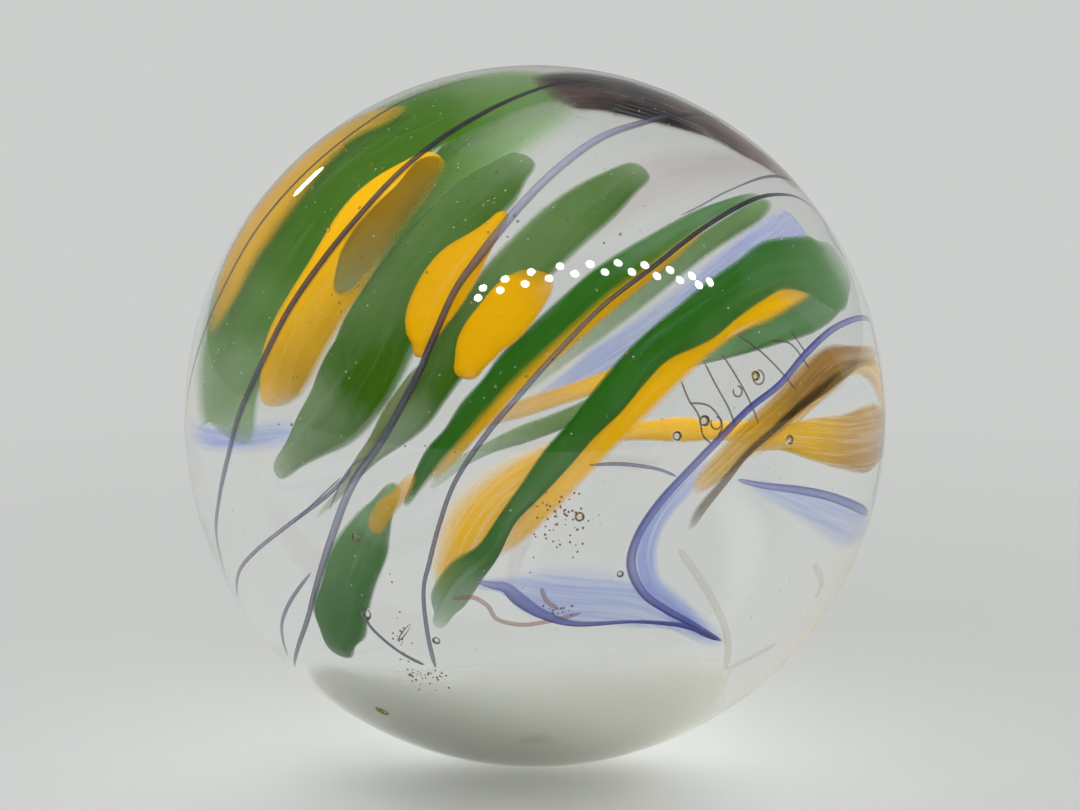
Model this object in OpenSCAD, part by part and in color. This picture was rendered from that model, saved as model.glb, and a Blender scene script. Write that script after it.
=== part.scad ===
// A swirled glass marble: one fused ball of clear glass with bands, threads and veils of coloured glass inside.
// Origin at the centre of the ball, +Z up. The show side faces -Y.
// Longitude 0 faces the front and grows to the right, latitude grows upwards.

/* [Ball] */
// Diameter of the marble
ball_d = 32; // [28:0.5:46]
// Clear glass over the outermost threads
skin = 0.4; // [0.25:0.05:0.8]
// Clear glass between one layer of colour and the next
layer_gap = 0.15; // [0.1:0.01:0.3]

/* [Threads] */
// Diameter of the violet threads at their widest
thread_d = 0.42; // [0.3:0.02:0.6]
// Width of the dark blue edge lines of the veils at their widest
line_w = 0.7; // [0.5:0.02:0.9]

/* [Bands] */
// Thickness of the bands of every colour
band_t = 0.8; // [0.5:0.05:0.9]
// Width of the broad green sheet at its widest
sheet_w = 9; // [7:0.25:9.5]
// Width of the green bands at their widest
green_w = 5; // [3.6:0.1:5.2]
// Width of the yellow bands at their widest
yellow_w = 5; // [3.6:0.1:5.2]
// Width of the amber glass at its widest
amber_w = 3.2; // [2.2:0.1:3.4]
// Width of the olive glass at its widest
olive_w = 2.6; // [1.8:0.1:2.8]
// Width of the dark core of the amber hook
core_w = 0.8; // [0.6:0.05:1]
// Width of the smoky patch under the crown
smoke_w = 5.6; // [4:0.2:6]

/* [Veils] */
// Thickness of the blue, rose and pale veils
veil_t = 0.4; // [0.2:0.05:0.6]
// Width of the veils at their widest
veil_w = 3; // [2:0.1:3.2]

/* [White base] */
// Thickness of the opaque white gob at its middle
white_t = 2.2; // [1.2:0.1:2.6]
// Clear glass between the middle of the gob and the skin of the ball
white_cover = 3.1; // [2.8:0.1:4]

/* [Flaws] */
// Diameter of the largest air bubble
bubble_d = 0.64; // [0.3:0.02:0.8]
// Diameter of the ball that would just fit the pit in the skin
pit_d = 1.2; // [0.8:0.1:2]
// Depth of the pit
pit_depth = 0.15; // [0.05:0.01:0.25]

/* [Hidden] */

ball_r = ball_d / 2;
band_sides = 6;
sheet_sides = 10;
thread_sides = 5;
// Steps along a band between two of its stations
steps = 2;
// Places of the first rings on a rounded tip, as shares of its length
tip_rings = [0.12, 0.45];
// A short way along a band, to find its direction
nudge = 0.02;
// Rings of the white gob, as shares of the way from its middle to its edge
gob_rings = [0.35, 0.65, 0.87];
gob_sectors = 24;
gob_edge_t = 0.1;

// Layers of colour, from the skin inwards: the threads lie in layer 0
function layer_r(layer) = layer == 0 ? ball_r - skin - thread_d / 2
    : ball_r - skin - thread_d - layer_gap - band_t / 2 - (layer - 1) * (band_t + layer_gap);

// Each band: layer, then its stations as longitude, latitude and tenths of the full width.
// The first and the last station are the tips. Threads and lines have stations alone: they lie in layer 0.

// Broad sheet down the left side, from the crown to the waist
green_sheet = [4, [[-73.5, 0, 0], [-74.5, 2.5, 3.5], [-76, 6, 5.5], [-81.5, 11.5, 9], [-81.5, 18.5, 9],
                   [-81, 26, 10], [-84, 42.5, 10], [-93, 70, 8.5], [-159, 82.5, 6], [161, 77, 0]]];

green_paths = [
    // pale band under the sheet, over the crown
    [5, [[144, 81, 0], [160, 85.5, 8.5], [-20, 82, 7.5], [-37, 54, 6], [-41, 37, 5.5], [-43, 32, 4],
         [-45.5, 28.5, 0]]],
    // leaning band beside the big yellow one
    [2, [[-2.5, 59.5, 0], [-6.5, 56.5, 3.5], [-12.5, 51, 5.5], [-22, 40.5, 6], [-30.5, 19, 7.5],
         [-35.5, 10, 6.5], [-44.5, 1, 2.5], [-48.5, -2.5, 0]]],
    // finger through the middle
    [2, [[36, 55.5, 0], [27, 53.5, 3], [15.5, 49, 4.5], [-5.5, 33.5, 5], [-20.5, 10.5, 3],
         [-28, 2.5, 1], [-32.5, -2, 0]]],
    // long dark finger with a thin tail
    [2, [[67, 44.5, 0], [40.5, 43, 2], [13.5, 33, 3], [-10.5, 11.5, 2.5], [-22, -5, 0]]],
    // main band, from the swollen head on the right to the tail
    [2, [[90, 23.5, 0], [72, 28.5, 9], [65, 32, 6], [46.5, 31, 4], [31, 25.5, 4], [22.5, 22, 3],
         [8, 9, 2.5], [-4.5, -6, 1.5], [-15.5, -21, 3], [-17, -24.5, 1.5], [-18.5, -27, 0]]],
    // tongue at the lower left
    [2, [[-23, -1, 0], [-25.5, -4.5, 2], [-30, -12, 4.5], [-40, -28, 5.5], [-42.5, -32.5, 4],
         [-44, -36.5, 0]]],
    // pale finger under the dark one
    [4, [[82.5, 43.5, 0], [43, 40.5, 2], [3.5, 20.5, 1.5], [-6, 13.5, 0]]],
    // underside of the main band's head
    [4, [[87.5, 21.5, 0], [66.5, 21.5, 1.5], [44.5, 21, 1.5], [24, 18.5, 0]]],
    // thin strip that crosses below the middle
    [6, [[18, 16.5, 0], [11.5, 12.5, 1.5], [-17, 0, 1], [-23, -5.5, 0]]]
];

yellow_paths = [
    // outer stripe along the left edge
    [3, [[-78.5, 66.5, 0], [-87.5, 63, 4.5], [-94, 56.5, 7.5], [-85.5, 36.5, 10], [-81.5, 24.5, 7],
         [-81, 20, 4.5], [-80.5, 15.5, 0]]],
    // big band beside the broad sheet
    [3, [[-36, 61, 0], [-39.5, 57, 4], [-45.5, 46, 6.5], [-46, 32, 7.5], [-50, 20.5, 7.5],
         [-51.5, 11.5, 5.5], [-51, 8.5, 0]]],
    // island with a pointed top
    [1, [[-6.5, 45, 0], [-8.5, 42.5, 1.5], [-16, 33, 4.5], [-19.5, 23.5, 3], [-19.5, 21.5, 1.5],
         [-19.5, 19.5, 0]]],
    // island beside it
    [1, [[-0.5, 34.5, 0], [-1, 32, 4], [-8.5, 23.5, 4], [-11.5, 16.5, 0]]],
    // patch on the tongue at the lower left
    [1, [[-19, 1.5, 0], [-24, -4.5, 2], [-25.5, -7, 2], [-26.5, -9, 0]]],
    // lining of the main green band
    [3, [[67.5, 27.5, 0], [49.5, 26.5, 3], [34.5, 22.5, 2.5], [11.5, 6, 2.5], [-8.5, -14.5, 0]]],
    // lining of the long dark finger
    [3, [[46.5, 44, 0], [26, 37, 2], [4.5, 25, 3], [-10, 11, 2.5], [-19.5, -1, 0]]],
    // half clear flame left of the main band
    [3, [[7, 7.5, 0], [1.5, 4.5, 2], [-9, -3.5, 4.5], [-12.5, -8.5, 5], [-17.5, -20.5, 1.5],
         [-18.5, -23.5, 0]]],
    // thin strip that crosses the middle
    [5, [[24, 21, 0], [14, 17.5, 1.5], [-9, 10, 1], [-17, 6, 0]]],
    // streak that runs to the amber
    [6, [[16, 6.5, 0], [32.5, 6.5, 2], [54.5, 3, 2], [69.5, 0.5, 0]]]
];

violet_paths = [
    // along the left edge
    [[-88, -22, 2], [-79, 4, 2.5], [-75, 14.5, 3], [-72, 25, 3.5], [-71, 36, 4], [-68.5, 56.5, 3],
     [-69.5, 66.5, 3], [-64.5, 73, 2.5], [-59.5, 79, 2]],
    // long thread over the yellow bands
    [[-71.5, -24.5, 3], [-67, -15.5, 4], [-57, -0.5, 5.5], [-50, 15, 6], [-43, 32.5, 6.5],
     [-35, 50.5, 5.5], [-21.5, 65.5, 5.5], [19.5, 78, 4], [64.5, 78.5, 3.5], [95, 66, 2]],
    // its way back from the low left
    [[-70.5, -27.5, 3.5], [-61, -20.5, 3.5], [-52, -15, 3.5], [-33.5, -3, 3.5], [-29, 1.5, 3]],
    // from the crown's right, through the yellow islands, to the turn at the low left
    [[100, 52, 2.5], [85.5, 59.5, 3.5], [62.5, 63, 7], [21, 59.5, 9], [7.5, 53.5, 9], [-6.5, 41, 9],
     [-14, 30, 7], [-19, 16, 7], [-23.5, 7, 7], [-29, -1, 7.5], [-33.5, -10, 7.5], [-45.5, -28, 5],
     [-63.5, -41, 3.5]],
    // its way back
    [[-60.5, -37.5, 3.5], [-53.5, -29.5, 3.5], [-47, -23.5, 3.5], [-39, -16.5, 3]],
    // from the right edge to the turn low in front
    [[86, 8, 1.5], [85, 24, 2], [79.5, 32, 2], [83.5, 36, 2], [77.5, 40.5, 2.5], [53, 43, 4],
     [22, 33.5, 4], [11.5, 27.5, 4], [2.5, 19.5, 4.5], [-7.5, 8, 4.5], [-12, 1, 4], [-18, -17, 3.5],
     [-18.5, -32.5, 4]],
    // its way back
    [[-20.5, -32, 4], [-25, -29.5, 3], [-29, -25.5, 3], [-30, -22.5, 2.5]],
    // fine thread above the long dark finger
    [[84, 43.5, 2.5], [76, 45.5, 3.5], [53, 46, 1.5], [31.5, 42, 1.5]]
];

veil_paths = [
    // lavender veil under the right-hand bands
    [6, [[116, 28, 0], [110.5, 32, 5.5], [69.5, 38, 5.5], [28.5, 28, 5], [-0.5, 14, 0]]],
    // brushed veil at the left edge
    [5, [[-112.5, -5.5, 0], [-71, -0.5, 4.5], [-58, 2.5, 4.5], [-48.5, 4, 0]]],
    // inner side of the hooked line
    [5, [[37.5, 0.5, 0], [24.5, -12, 3.5], [26, -24.5, 3], [49, -39.5, 0]]],
    // sheet over the white gob
    [5, [[-15, -24, 0], [-7.5, -24, 3], [0, -25.5, 8.5], [17, -27.5, 9.5], [37.5, -34.5, 4.5],
         [57.5, -42.5, 0]]],
    // fan at the right edge
    [5, [[43.5, -4.5, 0], [54.5, -9, 3], [91.5, -20, 6.5], [111, -21, 3], [121, -19, 0]]]
];

veil_lines = [
    // the hooked line: up the right edge, round the hook and down to the white gob
    [[75, -12.5, 2], [78, 0, 2], [80.5, 14.5, 2.5], [81, 17.5, 3.5], [71.5, 19.5, 4], [59.5, 19.5, 4.5],
     [50, 17, 5], [42, 13, 4.5], [35, 10, 4.5], [23, 1, 5], [16, -7.5, 5.5], [15, -12.5, 6],
     [17.5, -17.5, 5.5], [27, -24, 4.5], [35.5, -29, 3]],
    // lower edge of the sheet over the gob
    [[-9.5, -15, 2], [-4.5, -16, 7.5], [1, -20.5, 7.5], [6.5, -22.5, 4.5], [16, -23, 2.5],
     [23.5, -24.5, 3.5], [34, -29.5, 3]],
    // upper edge of the fan
    [[32.5, -0.5, 2.5], [46, -4, 4.5], [56, -7, 4.5], [73.5, -13, 4.5]]
];

amber_paths = [
    // outer arm of the hook
    [3, [[28, -3.5, 0], [40, 4.5, 4.5], [66, 14, 4.5], [77.5, 13, 2.5], [93, 10, 0]]],
    // swollen end
    [4, [[41.5, 3, 0], [50.5, 3, 3], [71, -1, 6.5], [85.5, -3, 8], [98, -4.5, 5.5], [108, -7, 0]]],
    // turn back over the clear window
    [5, [[112.5, -6.5, 0], [103, 4, 4.5], [88.5, 9, 1.5], [70.5, 9, 3], [45, -0.5, 0]]]
];

// Dark core of the amber hook
core_path = [1, [[25, -8.5, 0], [27, -5, 7], [35.5, 3, 5], [47.5, 9, 6.5], [70, 12.5, 5], [83, 10, 0]]];

// Smoky patch under the right side of the crown
patch_path = [3, [[10, 85, 0], [56, 84.5, 8], [89, 79, 9.5], [93.5, 66, 8], [97, 47.5, 3.5],
                  [101, 39.5, 0]]];

olive_paths = [
    // pool over the big yellow band
    [1, [[-28.5, 56, 0], [-30.5, 47.5, 8], [-35, 38, 10], [-36.5, 31, 6.5], [-35.5, 28.5, 0]]],
    // strip along the edge of the middle finger
    [1, [[-18.5, 18.5, 0], [-26, 6, 2.5], [-32, -2.5, 1.5], [-38, -8, 0]]]
];

// Faint rose veils in the clear glass
rose_paths = [
    // under the right side of the crown
    [5, [[117, 37, 0], [104, 48, 6], [50, 59, 10], [24, 53, 7], [8, 44, 0]]],
    // at the lower left
    [5, [[-66, -10, 0], [-58, -17, 8], [-51, -26, 10], [-47, -35, 0]]],
    // narrow veil left of the sheet over the gob
    [4, [[4, 2, 0], [1, -4, 3], [-4, -17, 2.5], [-5, -23, 0]]],
    // streak across the middle
    [5, [[27, 1.5, 0], [21, 1, 2.5], [14, 2, 2.5], [7, 2, 0]]]
];

// Pale haze under the right side
haze_path = [6, [[38, -5, 0], [46, -12, 7], [56, -30, 10], [54, -40, 7], [46, -48, 0]]];

// The white gob: its middle, and how many degrees it spreads at each step of 15 degrees,
// upwards first and then to the right
gob_middle = [0, -62];
gob_spread = [31, 32, 33, 34.5, 36, 37.5, 38, 36, 39.5, 37.5, 33, 29,
              28, 29, 32, 38, 44.5, 45, 40, 35, 32, 30, 30, 30.5];

// Air bubbles in the first layer: longitude, latitude and tenths of the largest one's diameter
bubbles = [[-31, -24, 10], [28, 9, 8], [39, 15, 7], [45, 4, 7], [-18, -28, 6], [23, 7, 7], [-30, -10, 7],
           [7, -5, 7], [14, -15, 5], [-48, 39, 5]];
pit_place = [-36, -45];

// Point of the unit ball at a longitude and a latitude
function place(at) = [cos(at[1]) * sin(at[0]), -cos(at[1]) * cos(at[0]), sin(at[1])];

function unit(v) = v / norm(v);

// Smooth value a share t of the way from b to c, with a and d as the values before and after
function blend(a, b, c, d, t) = (2 * b + (c - a) * t + (2 * a - 5 * b + 4 * c - d) * t * t
    + (3 * b - a - 3 * c + d) * t * t * t) / 2;

// Value of a list of stations at u, where whole numbers fall on the stations
function along(list, u) = let (last = len(list) - 1, i = min(floor(u), last - 1), before = max(i - 1, 0),
    after = min(i + 2, last)) blend(list[before], list[i], list[i + 1], list[after], u - i);

// How far a tip has rounded out: 0 at its point, 1 from the next station on
function tip_round(u, last) = let (left = min(u, last - u, 1)) sqrt(1 - pow(1 - left, 2));

// Stops along a band between its two points
function stops(last) = concat(tip_rings, [for (i = [steps : (last - 1) * steps]) i / steps],
    [for (i = [len(tip_rings) - 1 : -1 : 0]) last - tip_rings[i]]);

// One ring of a band: an ellipse bent to the layer, across the way that the band runs
function ring(middle, way, r, w, t, sides) = let (side = cross(way, middle)) [for (k = [0 : sides - 1])
    let (a = 360 * k / sides, swing = w / 2 * cos(a) / r * 180 / PI)
    (middle * cos(swing) + side * sin(swing)) * (r + t / 2 * sin(a))];

// Faces of a body made of rings between two points, the points first and last
function ring_faces(rings, sides) = let (end = rings * sides + 1) concat(
    [for (k = [0 : sides - 1]) [0, 1 + (k + 1) % sides, 1 + k]],
    [for (i = [0 : rings - 2], k = [0 : sides - 1]) let (p = 1 + i * sides, q = (k + 1) % sides)
        [p + k, p + q, p + sides + q]],
    [for (i = [0 : rings - 2], k = [0 : sides - 1]) let (p = 1 + i * sides, q = (k + 1) % sides)
        [p + k, p + sides + q, p + sides + k]],
    [for (k = [0 : sides - 1]) let (p = end - sides) [p + k, p + (k + 1) % sides, end]]);

// A band of glass through its stations, full_w wide and t thick at most
module band(stations, r, full_w, t, sides) {
    last = len(stations) - 1;
    spots = [for (s = stations) place(s)];
    shares = [for (i = [0 : last]) stations[min(max(i, 1), last - 1)][2] / 10];
    us = stops(last);
    rings = [for (u = us)
        let (middle = unit(along(spots, u)), ahead = unit(along(spots, min(u + nudge, last))),
            behind = unit(along(spots, max(u - nudge, 0))),
            way = unit(cross(middle, cross(ahead - behind, middle))),
            w = full_w * along(shares, u) * tip_round(u, last))
        each ring(middle, way, r, w, min(t * tip_round(u, last), w), sides)];
    polyhedron(concat([spots[0] * r], rings, [spots[last] * r]), ring_faces(len(us), sides));
}

module bands(paths, full_w) {
    for (p = paths) band(p[1], layer_r(p[0]), full_w, band_t, band_sides);
}

module veils(paths) {
    for (p = paths) band(p[1], layer_r(p[0]), veil_w, veil_t, band_sides);
}

// Threads and lines: as wide as their stations say, and no thicker than a thread
module threads(paths, w) {
    for (p = paths) band(p, layer_r(0), w, thread_d, thread_sides);
}

// Spread of the gob on a bearing, smooth between the values of its list
function spread(bearing) = let (u = bearing / 360 * len(gob_spread), i = floor(u), n = len(gob_spread)) blend(
    gob_spread[(i + n - 1) % n], gob_spread[i % n], gob_spread[(i + 1) % n], gob_spread[(i + 2) % n], u - i);

// Ring of the gob at a share of its spread, lift times half its thickness from its mid-surface
function gob_ring(share, lift) = let (up = place([gob_middle[0], gob_middle[1] + 90]),
    middle = place(gob_middle), right = cross(up, middle), r = ball_r - white_cover - white_t / 2,
    half_t = gob_edge_t / 2 + (white_t - gob_edge_t) / 2 * sqrt(1 - share * share))
    [for (k = [gob_sectors : -1 : 1]) let (b = 360 * k / gob_sectors, turn = share * spread(b))
        (middle * cos(turn) + (up * cos(b) + right * sin(b)) * sin(turn)) * (r + lift * half_t)];

module gob() {
    r = ball_r - white_cover - white_t / 2;
    outside = [for (s = gob_rings) each gob_ring(s, 1)];
    inside = [for (i = [len(gob_rings) - 1 : -1 : 0]) each gob_ring(gob_rings[i], -1)];
    edge = concat(gob_ring(1, 1), gob_ring(1, -1));
    polyhedron(concat([place(gob_middle) * (r + white_t / 2)], outside, edge, inside,
        [place(gob_middle) * (r - white_t / 2)]), ring_faces(2 * len(gob_rings) + 2, gob_sectors));
}

module green_glass() {
    band(green_sheet[1], layer_r(green_sheet[0]), sheet_w, band_t, sheet_sides);
    bands(green_paths, green_w);
}

module yellow_glass() {
    bands(yellow_paths, yellow_w);
}

module blue_glass() {
    veils(veil_paths);
    threads(veil_lines, line_w);
}

module smoke_glass() {
    bands([core_path], core_w);
    band(patch_path[1], layer_r(patch_path[0]), smoke_w, band_t, sheet_sides);
}

module air() {
    for (b = bubbles) translate(place(b) * layer_r(1)) sphere(d = bubble_d * b[2] / 10, $fn = 24);
    translate(place(pit_place) * (ball_r - pit_depth + pit_d / 2)) sphere(d = pit_d, $fn = 24);
}

module clear_glass() {
    color([0.90, 0.94, 0.92, 0.35])
    difference() {
        sphere(r = ball_r, $fn = 96);
        green_glass();
        yellow_glass();
        threads(violet_paths, thread_d);
        blue_glass();
        bands(amber_paths, amber_w);
        bands(olive_paths, olive_w);
        smoke_glass();
        veils(rose_paths);
        veils([haze_path]);
        gob();
        air();
    }
}

module green_bands() {
    color([0.24, 0.48, 0.20]) green_glass();
}

module yellow_bands() {
    color([0.93, 0.68, 0.08]) yellow_glass();
}

module violet_threads() {
    color([0.20, 0.17, 0.28]) threads(violet_paths, thread_d);
}

module blue_veils() {
    color([0.45, 0.50, 0.82]) blue_glass();
}

module amber_hook() {
    color([0.78, 0.55, 0.18]) bands(amber_paths, amber_w);
}

module olive_bands() {
    color([0.48, 0.44, 0.12]) bands(olive_paths, olive_w);
}

module smoke_streaks() {
    color([0.25, 0.23, 0.22]) smoke_glass();
}

module rose_veils() {
    color([0.72, 0.60, 0.62]) veils(rose_paths);
}

module pale_haze() {
    color([0.80, 0.81, 0.76]) veils([haze_path]);
}

module white_base() {
    color([0.86, 0.88, 0.84]) gob();
}

clear_glass();
green_bands();
yellow_bands();
violet_threads();
blue_veils();
amber_hook();
olive_bands();
smoke_streaks();
rose_veils();
pale_haze();
white_base();
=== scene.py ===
"""A swirled glass marble: a clear ball round bands, threads and veils of coloured glass and a white gob.

The coloured pieces follow the solids' stations, with smooth sections and edges that fade into the clear
glass. Threads are a little wider than the solids'. Longitude 0 faces the front and grows to the right, and
latitude grows upwards, both in degrees.

A band is (layer, stations, fade of its left edge, fade of its right edge, lean). A station is (longitude,
latitude, width, cover, tint): width and cover are tenths of their full values, and tint runs from 0, the
material's first colour, to 10, its second. Left and right are as seen from outside, going from the first
station to the last, a fade is a share of half the width, and lean adds tint towards the right edge and takes
it from the left. A thread is a list of (longitude, latitude, tenths of its full width, paleness in tenths).
"""
import math
import random

import bmesh
import bpy
import numpy as np
from mathutils import Matrix, Vector


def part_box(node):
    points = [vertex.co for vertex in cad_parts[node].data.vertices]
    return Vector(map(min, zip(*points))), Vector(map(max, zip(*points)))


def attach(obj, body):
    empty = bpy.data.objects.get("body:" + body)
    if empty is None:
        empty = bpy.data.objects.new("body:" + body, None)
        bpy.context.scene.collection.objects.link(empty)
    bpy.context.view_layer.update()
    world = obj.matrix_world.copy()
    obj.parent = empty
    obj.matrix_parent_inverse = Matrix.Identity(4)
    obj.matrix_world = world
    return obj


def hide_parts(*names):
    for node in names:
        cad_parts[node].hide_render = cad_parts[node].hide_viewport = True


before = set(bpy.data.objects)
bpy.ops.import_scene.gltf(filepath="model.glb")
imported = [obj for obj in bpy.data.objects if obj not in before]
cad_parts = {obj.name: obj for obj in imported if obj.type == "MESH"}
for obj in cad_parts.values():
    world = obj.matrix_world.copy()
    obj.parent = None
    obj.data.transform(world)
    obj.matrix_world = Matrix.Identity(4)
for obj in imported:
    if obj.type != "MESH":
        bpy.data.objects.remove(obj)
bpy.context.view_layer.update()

MM = 0.001

# ---------------------------------------------------------------- sizes, in millimetres
ball_low, ball_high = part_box("clear_glass")
BALL_R = (ball_high.x - ball_low.x) / 2 / MM
SKIN, LAYER_GAP, BAND_T, VEIL_T = 0.4, 0.15, 0.8, 0.4
THREAD_D, LINE_W = 0.42, 0.7
SHEET_W, GREEN_W, YELLOW_W, AMBER_W, OLIVE_W, CORE_W, REFRACTION_PATCH_W, VEIL_W = 9, 5, 5, 3.2, 2.6, 0.8, 5.6, 3
WHITE_T, WHITE_COVER = 2.2, 3.1

STEPS, TIP_STEPS = 5, 7  # rings of a band between two stations, and on a rounded tip
TIP_RINGS = 3  # rings over which a thread narrows to its end
PALE_CLEARS = 0.35  # share of a thread's cover that full paleness takes
THREAD_EDGE = 0.4  # how high up its side a thread reaches its full cover, as a share of its radius


def layer_r(layer):
    """Radius of a layer of colour. The threads lie in layer 0, and the others follow inwards."""
    if layer == 0:
        return BALL_R - SKIN - THREAD_D / 2
    return BALL_R - SKIN - THREAD_D - LAYER_GAP - BAND_T / 2 - (layer - 1) * (BAND_T + LAYER_GAP)


# ---------------------------------------------------------------- bands
GREEN_SHEET = [
    (4, [(-73, -0.5, 0, 3, 3), (-73, 2.5, 5.5, 8, 3), (-74.5, 6, 7.3, 9, 2), (-76.5, 11, 8.5, 9, 2),
         (-79, 18, 9.3, 10, 1), (-81, 26, 10, 10, 1), (-82, 34.5, 10, 10, 0), (-84, 42.5, 10, 10, 0),
         (-86, 51.5, 9.5, 10, 0), (-89, 61, 9, 10, 0), (-93, 70, 8.5, 10, 0), (-108, 78, 7.5, 9, 1),
         (-159, 82.5, 6, 8, 2), (161, 77, 0, 4, 3)], 0.9, 0.06),
]
GREEN = [
    (5, [(144, 81, 0, 3, 7), (160, 85.5, 8.5, 6, 6), (-20, 82, 7.5, 8, 4), (-30, 72, 7.5, 9, 3),
         (-34.5, 62.5, 7, 10, 2), (-37, 54, 6, 10, 2), (-38.5, 45, 6, 10, 2), (-41, 37, 5.5, 9, 3),
         (-43, 32, 4, 8, 4), (-45.5, 28.5, 0, 4, 5)], 0.7, 0.05, -2.5),
    (2, [(-2.5, 59.5, 0, 7, 3), (-6.5, 56.5, 3.5, 9, 2.5), (-12.5, 51, 5.5, 10, 2), (-18.5, 45, 5.5, 10, 2),
         (-22, 40.5, 6, 10, 2), (-25.5, 34.5, 6, 10, 2), (-27.5, 29.5, 6.5, 10, 2), (-29, 24, 7.5, 10, 1),
         (-30.5, 19, 7.5, 10, 0), (-32.5, 15, 7.5, 10, 0), (-35.5, 10, 6.5, 9, 1), (-40, 5.5, 4.5, 9, 2),
         (-44.5, 1, 2.5, 8, 3), (-48.5, -2.5, 0, 5, 3)], 0.15, 0.1, 1.5),
    (2, [(33.5, 55, 0, 7, 3), (27, 53.5, 3, 9, 2), (15.5, 49, 4.5, 10, 2), (6.5, 44, 5, 10, 3),
         (-0.5, 38.5, 5, 10, 3), (-5.5, 33.5, 5, 10, 3), (-9, 29, 5, 10, 2), (-12.5, 24.5, 5, 10, 1),
         (-15.5, 19.5, 4, 10, 1), (-18, 15, 3.5, 10, 1), (-20.5, 10.5, 3, 9, 2), (-24, 6.5, 2, 8, 2),
         (-28, 2.5, 1, 7, 3), (-32.5, -2, 0, 4, 3)], 0.15, 0.3, 1),
    (4, [(82.5, 43.5, 0, 8, 1), (64, 43.5, 2, 9, 1), (43, 40.5, 2, 9, 2), (26, 34, 2, 8, 3),
         (14, 27.5, 2, 7, 4), (3.5, 20.5, 1.5, 5, 5), (-6, 13.5, 0, 2, 6)], 0.4, 0.4),
    (6, [(18, 16.5, 0, 8, 2), (11.5, 12.5, 1.5, 9, 2), (4, 9.5, 1.5, 9, 2), (-3, 7, 1.5, 8, 2),
         (-10, 4, 1, 7, 3), (-17, 0, 1, 5, 4), (-23, -5.5, 0, 3, 4)], 0.25, 0.3),
]
DEEP_GREEN = [
    (2, [(67, 44.5, 0, 7, 3), (52.5, 44.5, 1.5, 9, 2), (40.5, 43, 2, 9, 2), (30, 40, 2.5, 9, 1),
         (21, 36.5, 3, 9, 0), (13.5, 33, 3, 10, 0), (7, 28.5, 3, 10, 0), (1.5, 24, 3, 10, 0),
         (-3.5, 19.5, 3, 10, 0), (-7, 15.5, 2.5, 10, 0), (-10.5, 11.5, 2.5, 10, 0), (-13.5, 7.5, 2, 10, 0),
         (-16.5, 4, 2, 10, 0), (-19, 0, 1.5, 10, 0), (-20.5, -2.5, 1, 9, 1), (-22, -5, 0, 6, 2)], 0.8, 0.2),
    (2, [(85, 28.5, 0, 3, 5), (79.5, 28, 4.8, 7, 5), (72, 28.3, 7, 10, 3), (64, 31, 5.5, 10, 2),
         (55, 32.5, 4.5, 10, 1), (46.5, 31, 4, 10, 1), (38, 28.5, 4, 10, 0), (31, 25.5, 4, 10, 0),
         (22.5, 22, 3, 10, 0), (17, 18, 3, 10, 0), (12.5, 13.5, 3, 10, 0), (8, 9, 2.5, 10, 0),
         (3.5, 4, 2.5, 10, 1), (-0.5, -1, 2, 10, 1), (-4.5, -6, 1.5, 10, 1), (-8, -12, 2, 10, 0),
         (-12, -16, 3, 9, 2), (-15.5, -21, 3, 8, 4), (-17, -24.5, 1.5, 6, 5), (-18.5, -27, 0, 3, 6)
         ], 0.12, 0.15, -1),
    (2, [(-23, -1, 0, 8, 3), (-25.5, -4.5, 2, 9, 3), (-28, -8.5, 3.5, 9, 4), (-30, -12, 4.5, 10, 3),
         (-33.5, -17, 5, 10, 2), (-36.5, -22.5, 5, 10, 1), (-40, -28, 5.5, 10, 0), (-42.5, -32.5, 3.5, 10, 0),
         (-44, -36.5, 0, 8, 1)], 0.12, 0.2, 2),
    (4, [(87.5, 22.5, 0, 8, 2), (66.5, 23, 3, 9, 2), (53.5, 22.5, 2.5, 9, 1), (44.5, 21.3, 1.8, 9, 1),
         (36.5, 20.5, 1.5, 8, 2), (30, 19.5, 1, 6, 3), (24, 18.5, 0, 4, 4)], 0.15, 0.15),
]
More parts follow.
